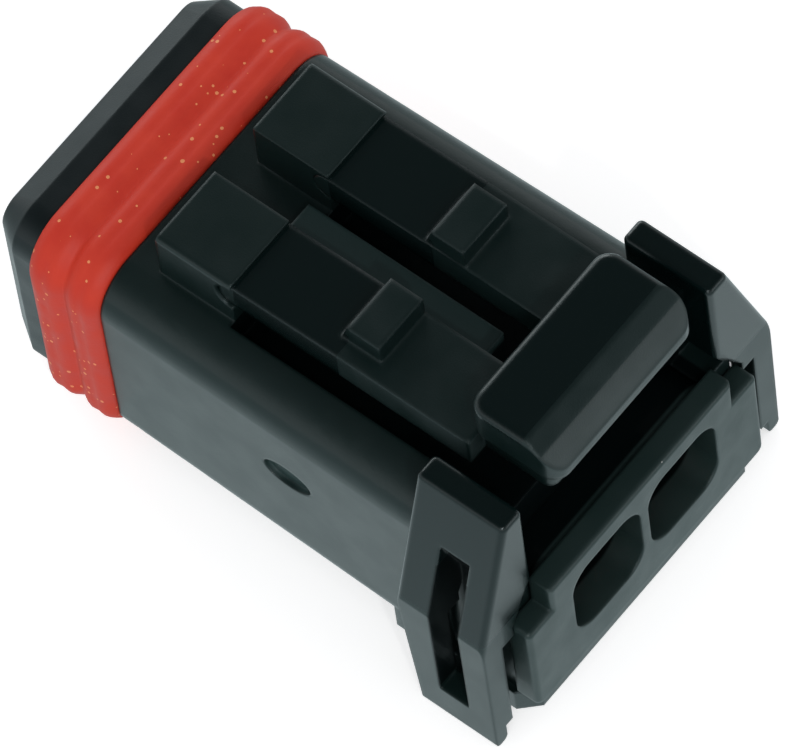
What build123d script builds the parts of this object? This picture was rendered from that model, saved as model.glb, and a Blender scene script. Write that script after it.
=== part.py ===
from build123d import *
import math
import os

# Sealed two-way connector socket housing, in millimetres.
# It is drawn with y measured forwards from the rear face of the rear cover,
# z measured up from the underside of that cover, and x = 0 on the middle plane.
# placed() then moves every piece so that the origin is the bottom centre of the whole part.
# +Y is the mating direction, and the wires enter from the -Y end.

# Terminal positions
PITCH = 4.0
ENTRY_WIDTH = 3.62
ENTRY_HEIGHT = 3.8
ENTRY_RADIUS = 1.0
ENTRY_MID_Z = 3.53
ENTRY_OUTER = (PITCH + ENTRY_WIDTH) / 2

# Body: the long barrel between the rear flange and the face seal
BODY_HALF = 6.2
BODY_LOW = -0.1
BODY_TOP = 9.35
BODY_TOP_CORNER = 1.65
BODY_LOW_CORNER = 1.0
BODY_DRAFT_DEG = 0.74
FLANGE_HALF = 6.1
FLANGE_LOW = -1.2
FLANGE_TOP = 2.5
FLANGE_CORNER = 0.4
FLANGE_FRONT = 6.1
CORE_REAR = 0.95
CORE_HALF = 5.85
CORE_FRONT = 3.7
LIP_REAR = 0.4
LIP_TOP = -0.05
LIP_CORNER = 0.65
WEB_REAR = 2.0

# Seat of the face seal and the nose that the front retainer covers
SEAL_DEPTH = 0.85
NOSE_FRONT = 22.0
CAP_SKIRT = 1.06
SEAL_LENGTH = 3.07
SEAL_FRONT = NOSE_FRONT - CAP_SKIRT
BODY_FRONT = SEAL_FRONT - SEAL_LENGTH
RIB_HEIGHT = 0.3
RIB_VALLEY = 0.22
RIB_ROUND = 0.55
SEAL_END_GAP = 0.04
SEAL_SKIN_GAP = 0.03

# Front retainer
CAP_WALL = 0.8
CAP_FRONT = NOSE_FRONT + CAP_WALL
CAP_INSET = 0.2
CAP_BEVEL_LONG = 0.97
CAP_BEVEL_IN = 0.66
SLIDE_GAP = 0.05
TONGUE_LAP = 2.0
TONGUE_WIDTH = 2.2
TONGUE_THICK = 0.45
TAB_SLOT_WIDTH = 1.9
TAB_SLOT_HEIGHT = 0.9
TAB_FUNNEL = 0.35

# Terminal chambers and their locking fingers
CHAMBER_WIDTH = 2.6
CHAMBER_LOW = 2.75
CHAMBER_TOP = 5.5
FINGER_THICK = 0.5
FINGER_REAR = 10.6
FINGER_FRONT = 16.6
FINGER_TOOTH = 0.45
TOOTH_RAMP = 1.9
TOOTH_FLAT = 0.3
FINGER_GAP = 0.2

# Rear pocket, wire seal and rear cover
POCKET_SIDE = 0.99
POCKET_HALF = ENTRY_OUTER + POCKET_SIDE
POCKET_LOW = 0.92
POCKET_TOP = 6.1
POCKET_CORNER = 1.3
POCKET_FRONT = 6.9
COVER_THICK = 0.9
COVER_SIDE = 2.27
COVER_HALF = ENTRY_OUTER + COVER_SIDE
COVER_STEP_SIDE = 1.04
COVER_STEP_HALF = ENTRY_OUTER + COVER_STEP_SIDE
COVER_STEP_Z = 5.0
COVER_TOP = 6.35
COVER_CORNER = 0.35
COVER_EDGE = 0.2
PLUG_FRONT = 3.05
COVER_GAP = 0.05
WIRE_HOLE_R = 0.75
WIRE_SEAL_RIB = 0.25
WIRE_SEAL_RIBS = 3
WIRE_SEAL_RIB_SHARE = 0.6
WIRE_SEAL_ROUND = 0.2

# Latch deck, its root block and the rib between the arms
DECK_Z = 7.9
DECK_HALF = 4.4
ROOT_HALF = 4.15
REAR_WALL = 2.3
SHELF_Z = 5.75
ROOT_SETBACK = 1.22
ROOT_LENGTH = 3.15
ROOT_FRONT = BODY_FRONT - ROOT_SETBACK
ROOT_REAR = ROOT_FRONT - ROOT_LENGTH
ROOT_EDGE = 0.2
ROOT_TOP = 11.5
CHANNEL_HALF = 1.0
CHANNEL_LOW = 8.8
RIB_HALF = 0.55
RIB_TOP = 9.75
RIB_REAR = 5.9
RIB_TUCK = 0.6
RIB_FRONT = ROOT_REAR + RIB_TUCK

# Latch: twin arms, two hooks and the thumb pad
ARM_OUTER = 4.02
ARM_LOW = 10.12
ARM_TOP = 11.45
ARM_ROOT_TOP = 11.3
PIVOT_Y = ROOT_REAR + 0.05
PIVOT_RUN = 0.03
HOOK_INNER = 1.05
HOOK_OUTER = 3.35
HOOK_TOP = 12.35
HOOK_REAR = 7.75
HOOK_FRONT = 9.1
HOOK_RAMP = 0.35
HOOK_SINK = 0.3
PAD_HALF = 3.7
PAD_REAR = 0.15
PAD_FRONT = 3.85
PAD_LOW = 11.75
PAD_TOP = 13.4
PAD_CORNER = 0.7
PAD_EDGE = 0.3
PAD_FLAT_END = 1.4
PAD_BROW_LONG = 0.62
PAD_BROW_DROP = 0.42
PAD_HEEL_LONG = 0.25
PAD_HEEL_DROP = 0.85
PAD_BACK_DROP = 1.2
NECK_HALF = 3.25
NECK_REAR = 0.85
NECK_CORNER = 0.4
ARM_REAR = 3.6

# Wings beside the thumb pad, with their long windows
WING_REAR = 0.65
WING_FRONT = 4.3
WING_TOP = 11.48
WING_INNER_X = 4.92
WING_TOP_OUTER_X = 5.88
WING_VERTEX_X = 7.66
WING_VERTEX_Z = 5.63
WING_FOOT_OUTER_X = 7.62
WING_FOOT_THICK = 0.9
WING_TIP_THICK = 0.55
WING_TIP_Z = -0.4
WING_WEB_Z = 4.6
WING_NOTCH_Z = 7.1
WING_FOOT_SLANT = 0.5
WING_EDGE = 0.22
WINDOW_REAR = 1.7
WINDOW_FRONT = 2.92
WINDOW_LOW = 0.55
WINDOW_TOP = 9.05
WINDOW_SLOPE = 3.0

# Shallow oval sink on the left side
DENT_Y = 10.13
DENT_Z = 5.13
DENT_LENGTH = 2.0
DENT_HEIGHT = 1.2
DENT_DEPTH = 0.22

CORNER_MIN = 0.3
EPS = 0.01
BIG = 60.0


def at(y):
    """Plane across the part at y; its own axes are the part's x and z."""
    return Plane(origin=(0, y, 0), x_dir=(1, 0, 0), z_dir=(0, -1, 0))


def prism(profile, y0, y1):
    """Run a profile drawn in x and z from y0 forwards to y1."""
    return extrude(at(y0) * profile, y1 - y0, dir=(0, 1, 0))


def side_prism(points, x0, x1):
    """Run a profile drawn in y and z from x0 to x1."""
    return Pos(x0, 0, 0) * extrude(Plane.YZ * Polygon(*points, align=None), x1 - x0)


def block(x0, x1, y0, y1, z0, z1):
    """Plain block between two corners."""
    return Pos((x0 + x1) / 2, (y0 + y1) / 2, (z0 + z1) / 2) * Box(x1 - x0, y1 - y0, z1 - z0)


def panel(half, low, high, r_low, r_high):
    """Upright rectangle, symmetric about x = 0, with its own corner radius below and above."""
    shape = Pos(0, (low + high) / 2) * Rectangle(2 * half, high - low)
    shape = fillet(shape.vertices().group_by(Axis.Y)[0], r_low)
    return fillet(shape.vertices().group_by(Axis.Y)[-1], r_high)


def mirrored(shape):
    """The shape and its mirror image on the other side of x = 0."""
    return shape + mirror(shape, about=Plane.YZ)


def body_shrink(y):
    """How far the draft has drawn the body in at y, counted from the flange."""
    return (y - FLANGE_FRONT) * math.tan(math.radians(BODY_DRAFT_DEG))


def body_panel(y, grow=0.0):
    """Outline of the body at y, grown outwards all round."""
    d = grow - body_shrink(y)
    r_low = max(BODY_LOW_CORNER + grow, CORNER_MIN)
    return panel(BODY_HALF + d, BODY_LOW - d, BODY_TOP + d, r_low, BODY_TOP_CORNER + grow)


def nose_panel(grow=0.0):
    """Outline of the nose under the face seal, grown outwards all round."""
    return body_panel(BODY_FRONT, grow - SEAL_DEPTH)


def position_xs():
    """Middle x of the terminal positions."""
    return [-PITCH / 2, PITCH / 2]


def body_barrel():
    """Drafted barrel, rear flange with its core and lip, and nose as one solid."""
    barrel = loft([at(CORE_FRONT) * body_panel(CORE_FRONT), at(BODY_FRONT) * body_panel(BODY_FRONT)])
    barrel += prism(nose_panel(), BODY_FRONT - 1, NOSE_FRONT)
    skirt = panel(FLANGE_HALF, FLANGE_LOW, FLANGE_TOP, FLANGE_CORNER, FLANGE_CORNER)
    core = panel(CORE_HALF, FLANGE_LOW, BODY_TOP, FLANGE_CORNER, BODY_TOP_CORNER)
    barrel += prism(skirt, CORE_FRONT, FLANGE_FRONT)
    barrel += prism(core, CORE_REAR, CORE_FRONT + 1)
    return barrel + rear_lip()


def rear_lip():
    """Bottom lip under the rear cover, with cut corners, joined to the feet of both wings."""
    lip = block(-FLANGE_HALF, FLANGE_HALF, LIP_REAR, CORE_FRONT + 1, FLANGE_LOW, LIP_TOP)
    lip = chamfer(lip.edges().filter_by(Axis.Z).group_by(Axis.Y)[0], LIP_CORNER)
    foot_inner = WING_FOOT_OUTER_X - WING_FOOT_THICK
    web = block(-foot_inner - EPS, foot_inner + EPS, WEB_REAR, CORE_FRONT, FLANGE_LOW, WING_TIP_Z)
    return lip + web


def wing():
    """Right-hand wing: upper trapezoid, thin foot, window and slanted front edge."""
    foot_inner = WING_FOOT_OUTER_X - WING_FOOT_THICK
    outline = Polygon(
        (WING_INNER_X, WING_TOP),
        (WING_TOP_OUTER_X, WING_TOP),
        (WING_VERTEX_X, WING_VERTEX_Z),
        (WING_FOOT_OUTER_X, FLANGE_LOW),
        (WING_FOOT_OUTER_X - WING_TIP_THICK, FLANGE_LOW),
        (WING_FOOT_OUTER_X - WING_TIP_THICK, WING_TIP_Z),
        (foot_inner, WING_TIP_Z),
        (foot_inner, WING_WEB_Z),
        (COVER_HALF + COVER_GAP, WING_WEB_Z),
        (COVER_HALF + COVER_GAP, COVER_STEP_Z + 2 * COVER_GAP),
        (WING_INNER_X, WING_NOTCH_Z),
        align=None,
    )
    top = outline.vertices().group_by(Axis.Y)[-1]
    foot = outline.vertices().group_by(Axis.Y)[0]
    outline = fillet(top + foot, WING_EDGE)
    solid = prism(outline, WING_REAR, WING_FRONT)
    corners = solid.edges().filter_by(Axis.X).group_by(Axis.Z)[-1]
    solid = fillet(corners, WING_EDGE)
    slant = [
        (WING_FRONT, WING_VERTEX_Z),
        (WING_FRONT - WING_FOOT_SLANT, FLANGE_LOW - EPS),
        (WING_FRONT + 1, FLANGE_LOW - EPS),
        (WING_FRONT + 1, WING_VERTEX_Z),
    ]
    solid -= side_prism(slant, foot_inner - EPS, BIG / 2)
    return solid - wing_window()


def wing_window():
    """Long upright window, open to the core; its floor leans in from the upper end."""
    lean = (WING_VERTEX_X - WING_TOP_OUTER_X) / (WING_TOP - WING_VERTEX_Z)
    top_x = WING_VERTEX_X - (WINDOW_TOP - WING_VERTEX_Z) * lean
    floor_x = CORE_HALF - COVER_GAP
    pocket = Polygon(
        (floor_x, WINDOW_LOW),
        (WING_VERTEX_X + 1, WINDOW_LOW),
        (WING_VERTEX_X + 1, WINDOW_TOP),
        (top_x, WINDOW_TOP),
        (floor_x, WINDOW_TOP - (top_x - floor_x) * WINDOW_SLOPE),
        align=None,
    )
    return prism(pocket, WINDOW_REAR, WINDOW_FRONT)


def latch_root():
    """Root block of the latch with the open channel and the round seats of the arms."""
    root = block(-ROOT_HALF, ROOT_HALF, ROOT_REAR, ROOT_FRONT, DECK_Z - 1, ROOT_TOP)
    root = fillet(root.edges().filter_by(Axis.Y).group_by(Axis.Z)[-1], ROOT_EDGE)
    root -= block(-CHANNEL_HALF, CHANNEL_HALF, ROOT_REAR - 1, ROOT_FRONT + 1, CHANNEL_LOW, ROOT_TOP + 1)
    seat = Pos(0, PIVOT_Y, pivot_z()) * Rot(0, 90, 0) * Cylinder(root_radius() + PIVOT_RUN, 2 * DECK_HALF + 1)
    mouth = block(-BIG / 4, BIG / 4, ROOT_REAR - 1, PIVOT_Y, ARM_LOW - PIVOT_RUN, ARM_ROOT_TOP + PIVOT_RUN)
    return root - seat - mouth


def latch_deck_cut():
    """Pocket under the arms, and the open shelf behind the rear wall."""
    pocket = block(-DECK_HALF, DECK_HALF, REAR_WALL - EPS, ROOT_REAR, DECK_Z, BODY_TOP + 1)
    shelf = block(-BODY_HALF - 1, BODY_HALF + 1, CORE_REAR - 1, REAR_WALL, SHELF_Z, BODY_TOP + 1)
    return pocket + shelf


def chamber(x):
    """One terminal chamber with the slots that free its locking finger."""
    half = CHAMBER_WIDTH / 2
    room = block(x - half, x + half, POCKET_FRONT - EPS, NOSE_FRONT + EPS, CHAMBER_LOW, CHAMBER_TOP)
    under = CHAMBER_LOW - FINGER_THICK - TONGUE_THICK - 2 * SLIDE_GAP
    slot_half = TONGUE_WIDTH / 2 + SLIDE_GAP
    below = block(x - slot_half, x + slot_half, FINGER_REAR + 1, NOSE_FRONT + EPS, under, CHAMBER_LOW - FINGER_THICK)
    free_left = block(x - half, x - half + FINGER_GAP, FINGER_REAR, FINGER_FRONT + 1, under, CHAMBER_LOW + EPS)
    free_right = block(x + half - FINGER_GAP, x + half, FINGER_REAR, FINGER_FRONT + 1, under, CHAMBER_LOW + EPS)
    tip = block(x - half, x + half, FINGER_FRONT, NOSE_FRONT + EPS, CHAMBER_LOW - FINGER_THICK - EPS, CHAMBER_LOW + EPS)
    return room + below + free_left + free_right + tip


def finger_tooth(x):
    """Ramp on the end of a locking finger, which catches behind the terminal."""
    half = CHAMBER_WIDTH / 2 - FINGER_GAP
    ramp = [
        (FINGER_FRONT - TOOTH_FLAT - TOOTH_RAMP, CHAMBER_LOW - EPS),
        (FINGER_FRONT - TOOTH_FLAT, CHAMBER_LOW + FINGER_TOOTH),
        (FINGER_FRONT, CHAMBER_LOW + FINGER_TOOTH),
        (FINGER_FRONT, CHAMBER_LOW - EPS),
    ]
    return side_prism(ramp, x - half, x + half)


def side_dent():
    """Shallow oval sink in the left side."""
    oval = Plane.YZ * Pos(DENT_Y, DENT_Z) * Ellipse(DENT_LENGTH / 2, DENT_HEIGHT / 2)
    face_x = BODY_HALF - body_shrink(DENT_Y)
    return Pos(-face_x - 1, 0, 0) * extrude(oval, 1 + DENT_DEPTH)


def housing():
    """The moulded housing with everything that is one piece with it."""
    solid = body_barrel()
    solid -= latch_deck_cut()
    solid += latch_root()
    solid += mirrored(wing())
    solid += block(-RIB_HALF, RIB_HALF, RIB_REAR, RIB_FRONT, DECK_Z - EPS, RIB_TOP)
    solid -= prism(panel(POCKET_HALF, POCKET_LOW, POCKET_TOP, POCKET_CORNER, POCKET_CORNER), 0, POCKET_FRONT)
    for x in position_xs():
        solid -= chamber(x)
        solid += finger_tooth(x)
    return solid - side_dent()


def entry_profile(x):
    """Rounded wire entry of one position."""
    return Pos(x, ENTRY_MID_Z) * RectangleRounded(ENTRY_WIDTH, ENTRY_HEIGHT, ENTRY_RADIUS)


def rear_cover():
    """Rear cover: a stepped plate with a plug that holds the wire seal in."""
    lower = panel(COVER_HALF, 0, COVER_STEP_Z, COVER_CORNER, COVER_EDGE)
    plate = prism(lower, 0, COVER_THICK)
    plate += block(-COVER_STEP_HALF, COVER_STEP_HALF, 0, COVER_THICK, COVER_STEP_Z - 1, COVER_TOP)
    rear = plate.faces().sort_by(Axis.Y)[0]
    plate = fillet(rear.outer_wire().edges(), COVER_EDGE)
    plug = panel(POCKET_HALF - COVER_GAP, POCKET_LOW + COVER_GAP, POCKET_TOP - COVER_GAP, POCKET_CORNER, POCKET_CORNER)
    solid = plate + prism(plug, COVER_THICK - EPS, PLUG_FRONT)
    for x in position_xs():
        solid -= prism(entry_profile(x), -1, PLUG_FRONT + 1)
    return solid


def wire_seal():
    """Flat two-hole seal behind the rear cover, with ribs round its edge."""
    core_gap = COVER_GAP + WIRE_SEAL_RIB
    rear = PLUG_FRONT + COVER_GAP
    front = POCKET_FRONT - COVER_GAP
    core = panel(
        POCKET_HALF - core_gap, POCKET_LOW + core_gap, POCKET_TOP - core_gap,
        POCKET_CORNER - WIRE_SEAL_RIB, POCKET_CORNER - WIRE_SEAL_RIB,
    )
    rib = panel(POCKET_HALF - COVER_GAP, POCKET_LOW + COVER_GAP, POCKET_TOP - COVER_GAP, POCKET_CORNER, POCKET_CORNER)
    solid = prism(core, rear, front)
    pitch = (front - rear) / WIRE_SEAL_RIBS
    half = pitch * WIRE_SEAL_RIB_SHARE / 2
    for i in range(WIRE_SEAL_RIBS):
        mid = rear + (i + 0.5) * pitch
        ring = prism(rib, mid - half, mid + half)
        outer = ring.edges().filter_by(Axis.Y, reverse=True)
        solid += fillet(outer, WIRE_SEAL_ROUND)
    for x in position_xs():
        hole = Cylinder(WIRE_HOLE_R, BIG / 2)
        solid -= Pos(x, 0, ENTRY_MID_Z) * Rot(90, 0, 0) * hole
    return solid


def face_seal():
    """Ring seal round the nose with two round ribs."""
    rear = BODY_FRONT + SEAL_END_GAP
    front = SEAL_FRONT - SEAL_END_GAP
    ring = prism(nose_panel(SEAL_DEPTH + RIB_HEIGHT - RIB_VALLEY), rear, front)
    middle = (rear + front) / 2
    for y0, y1 in [(rear, middle), (middle, front)]:
        rib = prism(nose_panel(SEAL_DEPTH + RIB_HEIGHT), y0 + EPS, y1 - EPS)
        edges = rib.faces().sort_by(Axis.Y)[0].edges() + rib.faces().sort_by(Axis.Y)[-1].edges()
        ring += fillet(edges, RIB_ROUND)
    return ring - prism(nose_panel(SEAL_SKIN_GAP), rear - 1, front + 1)


def cap_shell():
    """Outer form of the front retainer: a flat band, then a wide bevel all round its front."""
    band_end = CAP_FRONT - CAP_BEVEL_LONG
    band = prism(body_panel(BODY_FRONT, -CAP_INSET), SEAL_FRONT, band_end)
    front = body_panel(BODY_FRONT, -CAP_INSET - CAP_BEVEL_IN)
    return band + loft([at(band_end) * body_panel(BODY_FRONT, -CAP_INSET), at(CAP_FRONT) * front])


def tab_entry(x):
    """Slot for one mating tab, with a funnel at its mouth."""
    mid = (CHAMBER_LOW + CHAMBER_TOP) / 2
    slot = Pos(x, mid) * Rectangle(TAB_SLOT_WIDTH, TAB_SLOT_HEIGHT)
    mouth = Pos(x, mid) * Rectangle(TAB_SLOT_WIDTH + 2 * TAB_FUNNEL, TAB_SLOT_HEIGHT + 2 * TAB_FUNNEL)
    funnel = loft([at(CAP_FRONT + EPS) * mouth, at(CAP_FRONT - TAB_FUNNEL) * slot])
    return prism(slot, NOSE_FRONT - 1, CAP_FRONT + 1) + funnel


def front_retainer():
    """Front retainer: cap over the nose and the tongues that lock the fingers."""
    solid = cap_shell()
    solid -= prism(nose_panel(SLIDE_GAP), SEAL_FRONT - 1, NOSE_FRONT + SLIDE_GAP)
    tongue_top = CHAMBER_LOW - FINGER_THICK - SLIDE_GAP
    tongue_rear = FINGER_FRONT - TONGUE_LAP
    for x in position_xs():
        solid -= tab_entry(x)
        half = TONGUE_WIDTH / 2
        solid += block(x - half, x + half, tongue_rear, NOSE_FRONT + CAP_WALL / 2, tongue_top - TONGUE_THICK, tongue_top)
    return solid


def pivot_z():
    """Height of the latch's bending line."""
    return (ARM_LOW + ARM_ROOT_TOP) / 2


def root_radius():
    """Radius of the round end of an arm."""
    return (ARM_ROOT_TOP - ARM_LOW) / 2


def latch_side():
    """Right-hand arm with its round end and hook."""
    run = [
        (ARM_REAR, ARM_LOW),
        (PIVOT_Y, ARM_LOW),
        (PIVOT_Y, ARM_ROOT_TOP),
        (HOOK_FRONT, ARM_TOP),
        (ARM_REAR, ARM_TOP),
    ]
    arm = side_prism(run, CHANNEL_HALF, ARM_OUTER)
    middle = (CHANNEL_HALF + ARM_OUTER) / 2
    arm += Pos(middle, PIVOT_Y, pivot_z()) * Rot(0, 90, 0) * Cylinder(root_radius(), ARM_OUTER - CHANNEL_HALF)
    hook = [
        (HOOK_REAR, ARM_TOP - HOOK_SINK),
        (HOOK_FRONT + HOOK_RAMP, ARM_TOP - HOOK_SINK),
        (HOOK_FRONT + HOOK_RAMP, ARM_ROOT_TOP),
        (HOOK_FRONT, HOOK_TOP),
        (HOOK_REAR, HOOK_TOP),
    ]
    return arm + side_prism(hook, HOOK_INNER, HOOK_OUTER)


def thumb_pad():
    """Thumb pad: flat in front, falling away to the rear, rounded all round."""
    side = [
        (PAD_FRONT, PAD_LOW),
        (PAD_FRONT, PAD_TOP),
        (PAD_FLAT_END, PAD_TOP),
        (PAD_FLAT_END - PAD_BROW_LONG, PAD_TOP - PAD_BROW_DROP),
        (PAD_REAR + PAD_HEEL_LONG, PAD_TOP - PAD_HEEL_DROP),
        (PAD_REAR, PAD_TOP - PAD_BACK_DROP),
        (PAD_REAR, PAD_LOW),
    ]
    solid = side_prism(side, -PAD_HALF, PAD_HALF)
    width = 2 * PAD_HALF
    length = PAD_FRONT - PAD_REAR
    plan = Pos(0, (PAD_REAR + PAD_FRONT) / 2) * RectangleRounded(width, length, PAD_CORNER)
    solid = solid & (Pos(0, 0, PAD_LOW) * extrude(plan, PAD_TOP - PAD_LOW))
    top = solid.faces().sort_by(Axis.Z)[-1]
    return fillet(top.edges().filter_by(lambda e: e.center().Y > PAD_FLAT_END + EPS), PAD_EDGE)


def latch_arm():
    """Twin-arm latch with its thumb pad."""
    neck = block(-NECK_HALF, NECK_HALF, NECK_REAR, PAD_FRONT, ARM_LOW, PAD_LOW + EPS)
    neck = fillet(neck.edges().filter_by(Axis.Z), NECK_CORNER)
    return thumb_pad() + neck + mirrored(latch_side())


def placed(shape):
    """Move a piece so that the origin is the bottom centre of the whole part."""
    return Pos(0, -CAP_FRONT / 2, -FLANGE_LOW) * shape


PIECES = {
    "housing": housing,
    "rear_cover": rear_cover,
    "wire_seal": wire_seal,
    "face_seal": face_seal,
    "front_retainer": front_retainer,
    "latch_arm": latch_arm,
}

os.makedirs("parts", exist_ok=True)
for name, make in PIECES.items():
    solid = placed(make())
    export_step(solid, "parts/" + name + ".step")
    print(name, round(solid.volume, 2), "mm3")
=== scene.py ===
# %% [markdown]
# # A sealed two-wire connector housing
#
# This small plug housing is black moulded plastic with one orange-red silicone ring near its mating end.
# The solids come from the CAD frame, in metres and already in place. This lesson adds what the CAD can't
# show: the fine grain of a spark-eroded mould, soft edges that catch the light, dust with painted glints,
# painted light and shade in some places, and a seal that looks like rubber.

# %% Load the frame
import bmesh
import bpy
from mathutils import Matrix, Vector


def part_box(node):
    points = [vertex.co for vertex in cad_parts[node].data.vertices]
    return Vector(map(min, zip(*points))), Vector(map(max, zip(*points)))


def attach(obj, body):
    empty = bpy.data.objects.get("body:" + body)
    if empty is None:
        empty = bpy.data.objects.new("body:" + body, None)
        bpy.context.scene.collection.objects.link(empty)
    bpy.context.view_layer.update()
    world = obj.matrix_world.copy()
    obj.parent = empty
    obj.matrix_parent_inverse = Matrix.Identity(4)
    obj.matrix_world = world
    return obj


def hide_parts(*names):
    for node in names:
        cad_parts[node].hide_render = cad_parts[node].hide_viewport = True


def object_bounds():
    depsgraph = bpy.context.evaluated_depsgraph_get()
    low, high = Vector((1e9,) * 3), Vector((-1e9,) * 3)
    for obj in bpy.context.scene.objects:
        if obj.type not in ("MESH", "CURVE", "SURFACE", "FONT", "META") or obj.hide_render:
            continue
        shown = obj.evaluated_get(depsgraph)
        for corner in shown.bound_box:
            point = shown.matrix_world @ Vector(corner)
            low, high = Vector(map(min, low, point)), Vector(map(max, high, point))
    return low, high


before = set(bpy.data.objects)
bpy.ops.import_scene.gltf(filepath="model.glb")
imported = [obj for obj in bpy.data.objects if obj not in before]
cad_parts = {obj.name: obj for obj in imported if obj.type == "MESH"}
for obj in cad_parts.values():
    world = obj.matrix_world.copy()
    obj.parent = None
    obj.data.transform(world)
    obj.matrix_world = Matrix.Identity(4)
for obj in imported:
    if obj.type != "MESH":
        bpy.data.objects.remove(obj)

cad_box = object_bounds()
MM = 0.001
print("nodes:", sorted(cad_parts))
print("box in mm:", [[round(v / MM, 2) for v in corner] for corner in cad_box])

# %% [markdown]
# ## The camera
#
# The photograph was taken from above and behind, with a long lens, so parallel edges stay almost
# parallel. A camera can be aimed with a target, but a measured turn is exact, so its three axes are
# written down here: where its right, its up and its back point in the frame of the part.

# %% Camera
PHOTO_WIDTH = 787
FOCAL_PIXELS = 12625.4
CAMERA_RIGHT = Vector((0.6214, -0.7798, -0.0760))
CAMERA_UP = Vector((0.7086, 0.5179, 0.4793))
CAMERA_BACK = Vector((-0.3344, -0.3517, 0.8744))
CAMERA_PLACE = Vector((-140.83, -148.71, 371.8)) * MM

camera_data = bpy.data.cameras.new("camera")
camera_data.sensor_fit = "HORIZONTAL"
camera_data.sensor_width = 36.0
camera_data.lens = FOCAL_PIXELS * camera_data.sensor_width / PHOTO_WIDTH
camera_data.clip_start = 0.01
camera_data.clip_end = 10.0
camera = bpy.data.objects.new("camera", camera_data)
turn = Matrix((CAMERA_RIGHT, CAMERA_UP, CAMERA_BACK)).transposed()
camera.matrix_world = Matrix.Translation(CAMERA_PLACE) @ turn.to_4x4()
bpy.context.scene.collection.objects.link(camera)
bpy.context.scene.camera = camera
print("lens in mm:", round(camera_data.lens, 1))

# %% [markdown]
# ## Small helpers for shader trees
#
# A shader tree is a list of nodes and a list of wires. Two short helpers keep the cells below readable:
# one adds a node and fills in its inputs, and one joins an output to an input.


# %% Node helpers
def add(tree, kind, values=None, **settings):
    """Add a node, set its properties, then fill its inputs by name or number."""
    made = tree.nodes.new("ShaderNode" + kind)
    for key, value in settings.items():
        setattr(made, key, value)
    for key, value in (values or {}).items():
        made.inputs[key].default_value = value
    return made


def join(tree, start, end):
    """Wire an output socket to an input socket."""
    tree.links.new(start, end)


print("helpers ready")

# %% [markdown]
# ## Mould grain, as one group
#
# Both the plastic and the silicone take the fine texture of the steel that they were moulded in. It is a
# few hundredths of a millimetre wide, and under it lie slower, softer waves where the melt cooled
# unevenly. An image could hold that texture, but noise has no seams and no end. Every material needs it
# with other values, so it is a node group with named inputs.


# %% Sockets of a group
def number_input(tree, name, value):
    """Give a group a named number input with its usual value."""
    socket = tree.interface.new_socket(name, in_out="INPUT", socket_type="NodeSocketFloat")
    socket.default_value = value


def number_output(tree, name):
    """Give a group a named number output."""
    tree.interface.new_socket(name, in_out="OUTPUT", socket_type="NodeSocketFloat")


print("socket helpers ready")


# %% Mould grain group
def mould_grain():
    """Fine grain and slow waves: gives a height for bumps and a mask for roughness."""
    tree = bpy.data.node_groups.new("mould grain", "ShaderNodeTree")
    number_input(tree, "Grain per metre", 22000.0)
    number_input(tree, "Waves per metre", 900.0)
    number_input(tree, "Wave share", 0.5)
    number_output(tree, "Height")
    number_output(tree, "Mask")
    start, end = tree.nodes.new("NodeGroupInput"), tree.nodes.new("NodeGroupOutput")
    place = add(tree, "TexCoord")
    grain = add(tree, "TexNoise", {"Detail": 3.0, "Roughness": 0.62})
    waves = add(tree, "TexNoise", {"Detail": 2.0, "Roughness": 0.5})
    both = add(tree, "Mix", data_type="FLOAT")
    for noise, scale in ((grain, "Grain per metre"), (waves, "Waves per metre")):
        join(tree, place.outputs["Object"], noise.inputs["Vector"])
        join(tree, start.outputs[scale], noise.inputs["Scale"])
    join(tree, start.outputs["Wave share"], both.inputs["Factor"])
    join(tree, grain.outputs["Fac"], both.inputs["A"])
    join(tree, waves.outputs["Fac"], both.inputs["B"])
    join(tree, both.outputs["Result"], end.inputs["Height"])
    join(tree, waves.outputs["Fac"], end.inputs["Mask"])
    return tree


GRAIN = mould_grain()
print("group:", GRAIN.name)

# %% [markdown]
# ## Specks of dust and painted glints, as one group
#
# A close photograph of a small part always shows a few specks of dust and lint. The same pale specks
# also stand for small glints, as painted highlights in the colour. They could be scattered as tiny meshes,
# but a texture costs nothing to store. A cell texture gives one point in each cell. Only some cells keep
# theirs, and each kept speck has its own size, so they don't look like a grid.


# %% Dust group
def dust_and_glint_specks():
    """Scattered specks of dust and painted glints: gives a mask that is 1 on a speck."""
    tree = bpy.data.node_groups.new("dust and glint specks", "ShaderNodeTree")
    number_input(tree, "Cells per metre", 900.0)
    number_input(tree, "Share kept", 0.2)
    number_input(tree, "Speck size", 0.12)
    number_output(tree, "Mask")
    start, end = tree.nodes.new("NodeGroupInput"), tree.nodes.new("NodeGroupOutput")
    place = add(tree, "TexCoord")
    cells = add(tree, "TexVoronoi", feature="F1")
    split = add(tree, "SeparateColor")
    kept = add(tree, "Math", operation="LESS_THAN")
    size = add(tree, "Math", operation="MULTIPLY")
    near = add(tree, "Math", operation="LESS_THAN")
    both = add(tree, "Math", operation="MULTIPLY")
    join(tree, place.outputs["Object"], cells.inputs["Vector"])
    join(tree, start.outputs["Cells per metre"], cells.inputs["Scale"])
    join(tree, cells.outputs["Color"], split.inputs["Color"])
    join(tree, split.outputs["Red"], kept.inputs[0])
    join(tree, start.outputs["Share kept"], kept.inputs[1])
    join(tree, split.outputs["Green"], size.inputs[0])
    join(tree, start.outputs["Speck size"], size.inputs[1])
    join(tree, cells.outputs["Distance"], near.inputs[0])
    join(tree, size.outputs["Value"], near.inputs[1])
    join(tree, kept.outputs["Value"], both.inputs[0])
    join(tree, near.outputs["Value"], both.inputs[1])
    join(tree, both.outputs["Value"], end.inputs["Mask"])
    return tree


DUST_AND_GLINTS = dust_and_glint_specks()
print("group:", DUST_AND_GLINTS.name)

# %% [markdown]
# ## What plastic and silicone have in common
#
# Both finishes are two close colours that drift with the slow waves, a roughness that drifts with them,
# specks on top, and a bump from the fine grain. Each could be wired by hand in both materials. Four small
# functions say it once, and the materials below differ only in their values.

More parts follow.
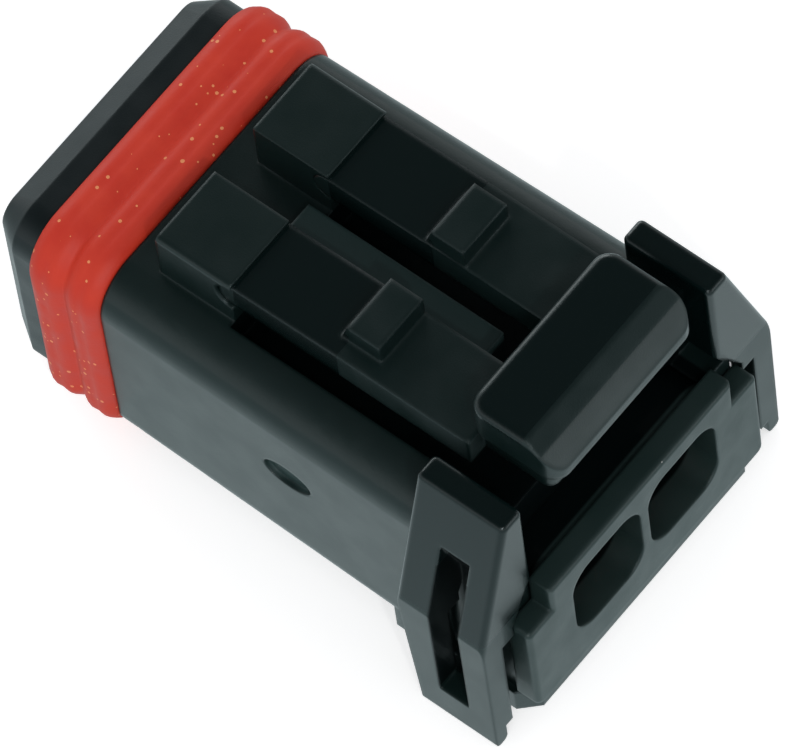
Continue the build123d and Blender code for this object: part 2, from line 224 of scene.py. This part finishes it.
# %% Colour, roughness, specks and bump
WAVE_LOW = 0.3
WAVE_HIGH = 0.7


def clouded(tree, grain, first, second):
    """Two close colours, mixed by the slow waves."""
    tone = add(tree, "Mix", {"A": first, "B": second}, data_type="RGBA")
    join(tree, grain.outputs["Mask"], tone.inputs["Factor"])
    return tone.outputs["Result"]


def uneven(tree, grain, smoother, rougher):
    """Roughness that follows the slow waves between two values."""
    spread = add(tree, "MapRange", {"From Min": WAVE_LOW, "From Max": WAVE_HIGH,
                                    "To Min": smoother, "To Max": rougher})
    join(tree, grain.outputs["Mask"], spread.inputs["Value"])
    return spread.outputs["Result"]


def dusted_and_glinted(tree, tone, speck_tone, dust_and_glint_values):
    """The colour with specks of dust and painted glints on it."""
    dust = add(tree, "Group", dust_and_glint_values, node_tree=DUST_AND_GLINTS)
    speck = add(tree, "Mix", {"B": speck_tone}, data_type="RGBA")
    join(tree, dust.outputs["Mask"], speck.inputs["Factor"])
    join(tree, tone, speck.inputs["A"])
    return speck.outputs["Result"]


def grain_bump(tree, grain, values):
    """Bump node that reads the height of the grain."""
    bump = add(tree, "Bump", values)
    join(tree, grain.outputs["Height"], bump.inputs["Height"])
    return bump


print("surface helpers ready")

# %% [markdown]
# ## Finishes and painted tones that change from place to place
#
# One moulding carries several finishes. The mould is polished in some places and rougher in others, and
# these places also get a painted tone: a painted shade, darker, where polished, and a painted light,
# lighter, where rough. The deep pockets get a painted shade, a near-black colour with less reflection.
# Material slots on chosen faces could mark them, but the CAD mesh stays as it is, so boxes in the part's
# own coordinates do. A mask is 1 inside a box and fades over a twentieth of a millimetre.

# %% Box mask
SOFT_WALL = 0.05 * MM


def combine(tree, operation, first, second):
    """Join two values with a Math node; with no first value, the second stays as it is."""
    if first is None:
        return second
    both = add(tree, "Math", operation=operation)
    join(tree, first, both.inputs[0])
    join(tree, second, both.inputs[1])
    return both.outputs["Value"]


def between(tree, value, start, end):
    """Mask that is 1 where a coordinate lies between two places in mm, with soft ends."""
    half = (end - start) / 2 * MM
    middle = add(tree, "Math", {1: (start + end) / 2 * MM}, operation="SUBTRACT")
    away = add(tree, "Math", operation="ABSOLUTE")
    wall = add(tree, "MapRange", {"From Min": half - SOFT_WALL, "From Max": half + SOFT_WALL,
                                  "To Min": 1.0, "To Max": 0.0})
    join(tree, value, middle.inputs[0])
    join(tree, middle.outputs["Value"], away.inputs[0])
    join(tree, away.outputs["Value"], wall.inputs["Value"])
    return wall.outputs["Result"]


def box_mask(tree, boxes):
    """Mask that is 1 inside any of the boxes, each given by two corners in mm."""
    place = add(tree, "TexCoord")
    parts = add(tree, "SeparateXYZ")
    join(tree, place.outputs["Object"], parts.inputs["Vector"])
    total = None
    for low, high in boxes:
        inside = None
        for axis, start, end in zip("XYZ", low, high):
            inside = combine(tree, "MULTIPLY", inside, between(tree, parts.outputs[axis], start, end))
        total = combine(tree, "MAXIMUM", total, inside)
    return total


print("soft walls in mm:", SOFT_WALL / MM)

# %% Polished, frosted and deep, each with a painted tone
# polished: smoother, and painted darker, a painted shade
POLISHED_PAINTED_DARKER = (0.22, (0.0010, 0.0056, 0.0055, 1))
# frosted: rougher, and painted lighter, a painted light
FROSTED_PAINTED_LIGHTER = (0.48, (0.0200, 0.0430, 0.0415, 1))
# deep pockets: painted shade, a near-black colour where the pockets lie in shade
DEEP_PAINTED_SHADE = (0.50, (0.0005, 0.0024, 0.0026, 1))


def refinished_with_painted_tone(tree, mask, rough, tone, finish):
    """Roughness and colour that turn into another finish, with its painted tone, where the mask is 1."""
    other_rough, other_tone = finish
    satin = add(tree, "Mix", {"B": other_rough}, data_type="FLOAT")
    shade = add(tree, "Mix", {"B": other_tone}, data_type="RGBA")
    for mixed, before in ((satin, rough), (shade, tone)):
        join(tree, mask, mixed.inputs["Factor"])
        join(tree, before, mixed.inputs["A"])
    return satin.outputs["Result"], shade.outputs["Result"]


print("roughness of the three finishes:", POLISHED_PAINTED_DARKER[0], FROSTED_PAINTED_LIGHTER[0], DEEP_PAINTED_SHADE[0])

# %% [markdown]
# ## Black moulded plastic
#
# The housing is glass-filled nylon or PBT, nearly black with a slight green-blue cast. Up-facing faces
# look almost black, and steep faces pick up the pale table, so most of what is seen is reflection, not
# colour. The base stays very dark, and roughness, fine grain and soft edges do the work. Edges could be
# rounded in the mesh. The Bevel node bends the normal near each edge instead, as the small radius of a
# real mould does, and leaves the mesh as it is.

# %% Plastic
PLASTIC_GLOSS = {
    "IOR": 1.52,
    "Specular Tint": (0.80, 0.97, 1.0, 1),
    "Coat Weight": 0.22,
    "Coat Roughness": 0.09,
}
PLASTIC_GRAIN = {"Grain per metre": 16000.0, "Waves per metre": 700.0, "Wave share": 0.35}
PLASTIC_SPECK = 0.075
PLASTIC_BUMP = {"Strength": 0.5, "Distance": 0.02 * MM}
EDGE_SAMPLES = 8
# pale grey specks: dust, and painted glints
GREY_DUST_AND_GLINTS = (0.30, 0.31, 0.30, 1)
GLOSS_OUTSIDE = 0.5
GLOSS_IN_POCKETS = 0.10


def less_gloss(tree, mask, shader):
    """Take the reflection off the walls of deep pockets, a painted shade that goes with their dark colour.
    """
    shine = add(tree, "MapRange", {"To Min": GLOSS_OUTSIDE, "To Max": GLOSS_IN_POCKETS})
    join(tree, mask, shine.inputs["Value"])
    join(tree, shine.outputs["Result"], shader.inputs["Specular IOR Level"])


def moulded_plastic(name, tones, rough, edge, specks, places=()):
    """Dark satin plastic with grain, soft edges, and specks of dust and painted glints; places are pairs of
    a finish with its painted tone and its boxes.
    """
    material = bpy.data.materials.new(name)
    material.use_nodes = True
    tree = material.node_tree
    shader = tree.nodes["Principled BSDF"]
    for socket, value in PLASTIC_GLOSS.items():
        shader.inputs[socket].default_value = value

    grain = add(tree, "Group", PLASTIC_GRAIN, node_tree=GRAIN)
    tone_end = clouded(tree, grain, *tones)
    rough_end = uneven(tree, grain, *rough)
    for finish, boxes in places:
        mask = box_mask(tree, boxes)
        rough_end, tone_end = refinished_with_painted_tone(tree, mask, rough_end, tone_end, finish)
        if finish is DEEP_PAINTED_SHADE:
            less_gloss(tree, mask, shader)
    tone_end = dusted_and_glinted(tree, tone_end, GREY_DUST_AND_GLINTS, {"Share kept": specks, "Speck size": PLASTIC_SPECK})
    join(tree, tone_end, shader.inputs["Base Color"])
    join(tree, rough_end, shader.inputs["Roughness"])

    soft_edge = add(tree, "Bevel", {"Radius": edge}, samples=EDGE_SAMPLES)
    bump = grain_bump(tree, grain, PLASTIC_BUMP)
    join(tree, soft_edge.outputs["Normal"], bump.inputs["Normal"])
    join(tree, bump.outputs["Normal"], shader.inputs["Normal"])
    return material


def dress(node, material):
    """Give a CAD node this material in all its slots."""
    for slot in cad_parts[node].material_slots:
        slot.material = material
    print(node, "is now", material.name)


# %% [markdown]
# ## The housing and where its finishes and painted tones lie
#
# The well behind the latch, the pocket under the arms and the long windows of the wings are deep, and get
# a painted shade. The upper parts of both wings are polished and get a painted shade, and the rib between
# the arms and the shallow sink in the side are frosted and get a painted light. The boxes are written in
# millimetres, as two corners each, and reach a little past the faces.

# %% Housing
REAR_WELL = ((-4.9, -10.6, 6.0), (4.9, -9.0, 10.4))
ARM_POCKET = ((-4.4, -9.3, 8.0), (4.4, 2.2, 10.45))
LEFT_WINDOW = ((-8.0, -9.74, 1.9), (-5.6, -8.44, 9.3))
RIGHT_WINDOW = ((5.6, -9.74, 1.9), (8.0, -8.44, 9.3))
WING_TOPS = [((-8.0, -10.9, 7.0), (-4.85, -7.0, 13.0)), ((4.85, -10.9, 7.0), (8.0, -7.0, 13.0))]
CENTRE_RIB = ((-0.6, -6.0, 10.6), (0.6, 3.0, 11.2))
SIDE_SINK = ((-6.08, -2.25, 5.75), (-5.7, -0.3, 6.9))
BLACK = moulded_plastic(
    "black polymer",
    tones=((0.0046, 0.0128, 0.0120, 1), (0.0056, 0.0146, 0.0137, 1)),
    rough=(0.31, 0.38),
    edge=0.18 * MM,
    specks=0.06,
    # painted shade on the wing tops and in the deep pockets, painted light on the rib and the sink
    places=[
        (POLISHED_PAINTED_DARKER, WING_TOPS),
        (FROSTED_PAINTED_LIGHTER, [CENTRE_RIB, SIDE_SINK]),
        (DEEP_PAINTED_SHADE, [REAR_WELL, ARM_POCKET, LEFT_WINDOW, RIGHT_WINDOW]),
    ],
)
dress("housing", BLACK)

# %% [markdown]
# ## The latch
#
# Thumbs and the mating half rub the latch, so its edges are rounder and it shows a few more specks of dust
# and painted glints. The fronts of its arms and the flat top of the thumb pad are smooth and get a painted
# shade, darker. It could share the housing's material, but then the finish could not differ, so it has its
# own from the same function.

# %% Latch
ARM_FRONTS = ((-5.0, -2.3, 10.0), (5.0, 2.1, 13.0))
PAD_TOP = ((-4.0, -9.9, 14.3), (4.0, -7.8, 15.0))
LATCH_BLACK = moulded_plastic(
    "black polymer, latch",
    tones=((0.0038, 0.0116, 0.0110, 1), (0.0056, 0.0150, 0.0143, 1)),
    rough=(0.30, 0.42),
    edge=0.26 * MM,
    specks=0.08,
    # the smooth arm fronts and pad top get a painted shade
    places=[(POLISHED_PAINTED_DARKER, [ARM_FRONTS, PAD_TOP])],
)
dress("latch_arm", LATCH_BLACK)

# %% [markdown]
# ## The front retainer and the rear cover
#
# Both are mouldings of their own. The retainer is darker, bluer and duller. The cover is painted paler, a
# painted light on faces that the pad above shades, and is rougher on its face, and its plug gets a painted
# shade and disappears into the dark of the housing.

# %% Retainer and cover
PLUG = ((-6.0, -10.2, 0.0), (6.0, -8.0, 8.0))
CAP_BLACK = moulded_plastic(
    "black polymer, retainer",
    tones=((0.0022, 0.0058, 0.0068, 1), (0.0042, 0.0084, 0.0100, 1)),
    rough=(0.36, 0.48),
    edge=0.16 * MM,
    specks=0.04,
)
COVER_BLACK_PAINTED_PALER = moulded_plastic(
    "black polymer, cover",
    # painted light: paler tones than the housing, for faces that the pad above shades
    tones=((0.0120, 0.0250, 0.0235, 1), (0.0160, 0.0310, 0.0290, 1)),
    rough=(0.34, 0.48),
    edge=0.18 * MM,
    specks=0.06,
    places=[(DEEP_PAINTED_SHADE, [PLUG])],
)
dress("front_retainer", CAP_BLACK)
dress("rear_cover", COVER_BLACK_PAINTED_PALER)

# %% [markdown]
# ## Orange-red silicone
#
# Liquid silicone is soft, slightly cloudy and holds dust, and its ribs have a dull sheen. Its pale
# yellow specks are dust and painted highlights. A little subsurface scattering would be one way. At this
# size it hardly shows, so a plain mix of two close reds over the slow waves is used, with the same grain
# group set coarser.

# %% Silicone
SILICONE_GRAIN = {"Grain per metre": 9000.0, "Waves per metre": 1100.0, "Wave share": 0.55}
SILICONE_DUST_AND_GLINTS = {"Cells per metre": 3600.0, "Share kept": 0.36, "Speck size": 0.27}
SILICONE_BUMP = {"Strength": 0.4, "Distance": 0.03 * MM}
SILICONE_ROUGH = (0.42, 0.58)
SILICONE_IOR = 1.41
# pale yellow specks: dust, and painted highlights
YELLOW_DUST_AND_GLINTS = (0.88, 0.30, 0.12, 1)


def silicone(name, first, second):
    """Satin rubber with a cloudy colour and pale specks of dust and painted highlights."""
    material = bpy.data.materials.new(name)
    material.use_nodes = True
    tree = material.node_tree
    shader = tree.nodes["Principled BSDF"]
    shader.inputs["IOR"].default_value = SILICONE_IOR
    grain = add(tree, "Group", SILICONE_GRAIN, node_tree=GRAIN)
    tone = dusted_and_glinted(tree, clouded(tree, grain, first, second), YELLOW_DUST_AND_GLINTS, SILICONE_DUST_AND_GLINTS)
    join(tree, tone, shader.inputs["Base Color"])
    join(tree, uneven(tree, grain, *SILICONE_ROUGH), shader.inputs["Roughness"])
    bump = grain_bump(tree, grain, SILICONE_BUMP)
    join(tree, bump.outputs["Normal"], shader.inputs["Normal"])
    return material


SILICONE = silicone("orange silicone", (0.60, 0.027, 0.014, 1), (0.72, 0.052, 0.020, 1))
dress("wire_seal", SILICONE)

# %% [markdown]
# ## The ring seal
#
# The CAD ring is exact but stiff. Real moulded silicone has softly rounded ribs, a valley between them
# and thin lips at both ends. A curve with a bevel could sweep it, but the corners differ above and below,
# so it is built as a bmesh: one rounded rectangle is extruded step by step along the part, and each step
# moves every point outwards or inwards by the rib's height there. It stays inside the CAD ring's box.

# %% Outline of the ring
ring_low, ring_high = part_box("face_seal")
RIB = 0.30 * MM
RADIUS_TOP = 1.65 * MM
RADIUS_LOW = 1.00 * MM
HALF = ring_high[0] - RIB
TOP = ring_high[2] - RIB
LOW = ring_low[2] + RIB
CORNER_SEGMENTS = 10
SIDE_CUTS = 15
SHORTEST_SIDE = 2 * MM


def ring_outline(mesh, y):
    """Rounded rectangle across the part at y, with extra points along its sides."""
    corners = [mesh.verts.new((x, y, z)) for x, z in ((-HALF, LOW), (HALF, LOW), (HALF, TOP), (-HALF, TOP))]
    mesh.faces.new(corners)
    for corner, radius in zip(corners, (RADIUS_LOW, RADIUS_LOW, RADIUS_TOP, RADIUS_TOP)):
        bmesh.ops.bevel(mesh, geom=[corner], offset=radius, segments=CORNER_SEGMENTS, profile=0.5,
                        affect="VERTICES", offset_type="OFFSET", material=-1)
    sides = [edge for edge in mesh.edges if edge.calc_length() > SHORTEST_SIDE]
    bmesh.ops.subdivide_edges(mesh, edges=sides, cuts=SIDE_CUTS)
    bmesh.ops.delete(mesh, geom=list(mesh.faces), context="FACES_ONLY")
    return list(mesh.edges)


print("skin of the body under the ring in mm:", [round(v / MM, 2) for v in (HALF, LOW, TOP)])


# %% Directions and steps of the sweep
def outward(point):
    """Direction away from the body at a point of the outline."""
    radius = RADIUS_TOP if point.z > (LOW + TOP) / 2 else RADIUS_LOW
    middle = Vector((0, point.y, 0))
    middle.x = max(min(point.x, HALF - radius), radius - HALF)
    middle.z = max(min(point.z, TOP - radius), LOW + radius)
    away = point - middle
    return away.normalized()


def step(mesh, edges, along, change):
    """Extrude a loop, then move it along the part and outwards."""
    made = bmesh.ops.extrude_edge_only(mesh, edges=edges)["geom"]
    points = [item for item in made if isinstance(item, bmesh.types.BMVert)]
    for point in points:
        point.co += outward(point.co) * change
    bmesh.ops.translate(mesh, verts=points, vec=(0, along, 0))
    return [item for item in made if isinstance(item, bmesh.types.BMEdge)]


print("the ring runs from", round(ring_low[1] / MM, 2), "to", round(ring_high[1] / MM, 2), "mm")

# %% [markdown]
# ## The profile of the ribs
#
# Each step is a pair: how far along the ring it lies, as a share of its length, and how high the silicone
# stands there, in mm. Each rib has two soft crests with a slight dip between them, and a deeper valley
# parts the ribs. A formula could make two plain humps, but the pairs follow what the close-up shows.

# %% Sweep the ring
LENGTH = ring_high[1] - ring_low[1]
STEPS = (
    (0.00, 0.02), (0.02, 0.10), (0.06, 0.18), (0.11, 0.255), (0.16, 0.295), (0.21, 0.285), (0.25, 0.262),
    (0.29, 0.282), (0.34, 0.292), (0.39, 0.25), (0.44, 0.17), (0.48, 0.09), (0.50, 0.07), (0.52, 0.09),
    (0.56, 0.17), (0.61, 0.25), (0.66, 0.295), (0.72, 0.285), (0.76, 0.266), (0.80, 0.282), (0.85, 0.288),
    (0.90, 0.245), (0.94, 0.17), (0.98, 0.10), (1.00, 0.02),
)
INNER = -0.80 * MM

ring_mesh = bmesh.new()
first = ring_outline(ring_mesh, ring_low[1])
for vert in {vert for edge in first for vert in edge.verts}:
    vert.co += outward(vert.co) * STEPS[0][1] * MM
loop = first
for before, here in zip(STEPS, STEPS[1:]):
    loop = step(ring_mesh, loop, (here[0] - before[0]) * LENGTH, (here[1] - before[1]) * MM)
loop = step(ring_mesh, loop, 0.0, INNER - STEPS[-1][1] * MM)
loop = step(ring_mesh, loop, -LENGTH, 0.0)
print("points on one loop:", len(loop))



# %% Close the ring and put it in place
def in_fixed_order(items):
    """Sort edges or faces by their points, because extruding makes them in another order on each run."""
    corners = {item: sorted(vert.index for vert in item.verts) for item in items}
    rank = {item: number for number, item in enumerate(sorted(items, key=corners.get))}
    items.sort(key=rank.get)
    items.index_update()


bmesh.ops.bridge_loops(ring_mesh, edges=first + loop)
bmesh.ops.remove_doubles(ring_mesh, verts=ring_mesh.verts, dist=0.001 * MM)
bmesh.ops.recalc_face_normals(ring_mesh, faces=ring_mesh.faces)
ring_mesh.verts.index_update()
in_fixed_order(ring_mesh.edges)
in_fixed_order(ring_mesh.faces)
for face in ring_mesh.faces:
    face.smooth = True
ring_data = bpy.data.meshes.new("ring_seal")
ring_mesh.to_mesh(ring_data)
print("ring seal faces:", len(ring_mesh.faces))
ring_mesh.free()
ring_data.materials.append(SILICONE)
ring = bpy.data.objects.new("ring_seal", ring_data)
bpy.context.scene.collection.objects.link(ring)
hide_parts("face_seal")
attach(ring, "shell")

# %% [markdown]
# ## The table
#
# Black plastic shows what stands round it. The photograph has a white table that lights every steep face
# from below. A plain white floor would be too bright under the part and too dull far away, so its glow in
# reflections fades with distance, and the places that lie hidden under the part give no light of their
# own. The camera sees plain white paint, apart from the shadow.

# %% Glow of the table
FLOOR_LIFT = 0.54
GLOW_NEAR = 0.88
GLOW_FAR = 0.48
GLOW_START = 8 * MM
GLOW_END = 40 * MM
UNDER_BODY = ((-4.5, -9.5, -1.0), (6.8, 11.0, 1.0))
UNDER_WING = ((6.5, -9.0, -1.0), (9.0, -5.6, 1.0))


def soft_lift(tree):
    """Brightness that the table shows to the camera, with none from under the part."""
    lift = add(tree, "Emission", {"Color": (1, 1, 1, 1)})
    under = add(tree, "MapRange", {"From Max": 1.0, "To Min": FLOOR_LIFT, "To Max": 0.0})
    join(tree, box_mask(tree, [UNDER_BODY, UNDER_WING]), under.inputs["Value"])
    join(tree, under.outputs["Result"], lift.inputs["Strength"])
    return lift.outputs["Emission"]


def mirror_glow(tree):
    """What glossy faces see of the table: bright near the part, duller further off."""
    glow = add(tree, "Emission", {"Color": (0.73, 0.86, 0.88, 1)})
    fade = add(tree, "MapRange", {"From Min": GLOW_START, "From Max": GLOW_END,
                                  "To Min": GLOW_NEAR, "To Max": GLOW_FAR})
    place = add(tree, "TexCoord")
    reach = add(tree, "VectorMath", operation="LENGTH")
    join(tree, place.outputs["Object"], reach.inputs[0])
    join(tree, reach.outputs["Value"], fade.inputs["Value"])
    join(tree, fade.outputs["Result"], glow.inputs["Strength"])
    return glow.outputs["Emission"]


print("glow near and far:", GLOW_NEAR, GLOW_FAR)


# %% Paint of the table
def pick(tree, chooser, usual, other):
    """Shader that is the usual one, or the other where the chooser is 1."""
    mixed = add(tree, "MixShader")
    join(tree, chooser, mixed.inputs["Fac"])
    join(tree, usual, mixed.inputs[1])
    join(tree, other, mixed.inputs[2])
    return mixed.outputs["Shader"]


def table_surface():
    """White table: plain paint, with soft light for other surfaces and a glow for glossy ones."""
    material = bpy.data.materials.new("table")
    material.use_nodes = True
    tree = material.node_tree
    tree.nodes.clear()
    out = add(tree, "OutputMaterial")
    paint = add(tree, "BsdfDiffuse", {"Color": (0.86, 0.86, 0.86, 1)})
    total = add(tree, "AddShader")
    join(tree, paint.outputs["BSDF"], total.inputs[0])
    join(tree, soft_lift(tree), total.inputs[1])
    path = add(tree, "LightPath")
    seen = pick(tree, path.outputs["Is Camera Ray"], paint.outputs["BSDF"], total.outputs["Shader"])
    final = pick(tree, path.outputs["Is Glossy Ray"], seen, mirror_glow(tree))
    join(tree, final, out.inputs["Surface"])
    return material


TABLE_WHITE = table_surface()
print("paint:", TABLE_WHITE.name)

# %% Table
TABLE_RADIUS = 1.5
TABLE_DROP = 0.02 * MM

table_mesh = bmesh.new()
bmesh.ops.create_circle(table_mesh, cap_ends=True, segments=96, radius=TABLE_RADIUS)
table_data = bpy.data.meshes.new("table")
table_mesh.to_mesh(table_data)
table_mesh.free()
table_data.materials.append(TABLE_WHITE)
table = bpy.data.objects.new("table", table_data)
table.location.z = cad_box[0][2] - TABLE_DROP
bpy.context.scene.collection.objects.link(table)
print("table at z", round(table.location.z / MM, 3), "mm")

# %% [markdown]
# ## The lamps
#
# Four square lamps stand close to the part, because it is only about 23 mm long. The key shapes the
# side that the camera sees, the fill opens the rear face, the rim draws a line along the mating end, and
# one very small lamp makes the glints on rounded corners. One big soft light would be simpler, but it
# gives no glints.

# %% Lamps
LAMP_AIM = Vector((0, 0, 6 * MM))


def lamp(name, towards, distance, size, power):
    """Square soft lamp that shines at the middle of the part."""
    data = bpy.data.lights.new(name, "AREA")
    data.shape = "SQUARE"
    data.size = size
    data.energy = power
    made = bpy.data.objects.new(name, data)
    away = Vector(towards).normalized()
    aim = away.to_track_quat("Z", "Y").to_matrix().to_4x4()
    made.matrix_world = Matrix.Translation(LAMP_AIM + away * distance) @ aim
    bpy.context.scene.collection.objects.link(made)
    return made


lamp("key", (-0.75, -0.45, 0.62), 0.35, 0.16, 0.20)
lamp("fill", (0.45, -0.95, 0.12), 0.40, 0.20, 0.10)
lamp("rim", (0.60, 0.85, 0.28), 0.40, 0.22, 0.30)
lamp("sparkle", (-0.36, -0.54, 0.75), 0.50, 0.014, 0.22)

# %% [markdown]
# ## The room
#
# Overhead the room is dark, which is why up-facing plastic looks almost black. The world is one even, dim
# white for light in general, a ramp from bright at the horizon's level to dark overhead for reflections,
# and plain white for the camera. An image of a studio could do this too, but a ramp needs no file.

# %% World
ROOM_STOPS = ((0.0, 0.80), (0.35, 0.52), (0.60, 0.15), (0.80, 0.06), (1.0, 0.05))


def ramp(tree, stops):
    """Add a colour ramp whose stops are (position, grey level)."""
    made = add(tree, "ValToRGB")
    line = made.color_ramp
    line.elements[0].position, line.elements[1].position = stops[0][0], stops[-1][0]
    line.elements[0].color = (stops[0][1],) * 3 + (1,)
    line.elements[1].color = (stops[-1][1],) * 3 + (1,)
    for position, grey in stops[1:-1]:
        line.elements.new(position).color = (grey,) * 3 + (1,)
    return made


world = bpy.data.worlds.new("surroundings")
bpy.context.scene.world = world
world.use_nodes = True
room_tree = world.node_tree
room_tree.nodes.clear()
world_out = add(room_tree, "OutputWorld")
plain = add(room_tree, "Background", {"Color": (0.97, 0.985, 1.0, 1), "Strength": 0.60})
white = add(room_tree, "Background", {"Color": (1, 1, 1, 1), "Strength": 1.0})
room = add(room_tree, "Background", {"Strength": 1.0})
place = add(room_tree, "TexCoord")
parts = add(room_tree, "SeparateXYZ")
shade = ramp(room_tree, ROOM_STOPS)
path = add(room_tree, "LightPath")
join(room_tree, place.outputs["Generated"], parts.inputs["Vector"])
join(room_tree, parts.outputs["Z"], shade.inputs["Fac"])
join(room_tree, shade.outputs["Color"], room.inputs["Color"])
print("stops of the room:", ROOM_STOPS)

# %% What each ray sees of the room
even, mirrored_room = plain.outputs["Background"], room.outputs["Background"]
glossy = pick(room_tree, path.outputs["Is Glossy Ray"], even, mirrored_room)
final = pick(room_tree, path.outputs["Is Camera Ray"], glossy, white.outputs["Background"])
join(room_tree, final, world_out.inputs["Surface"])
bpy.context.scene.view_settings.view_transform = "Standard"
print("world ready")
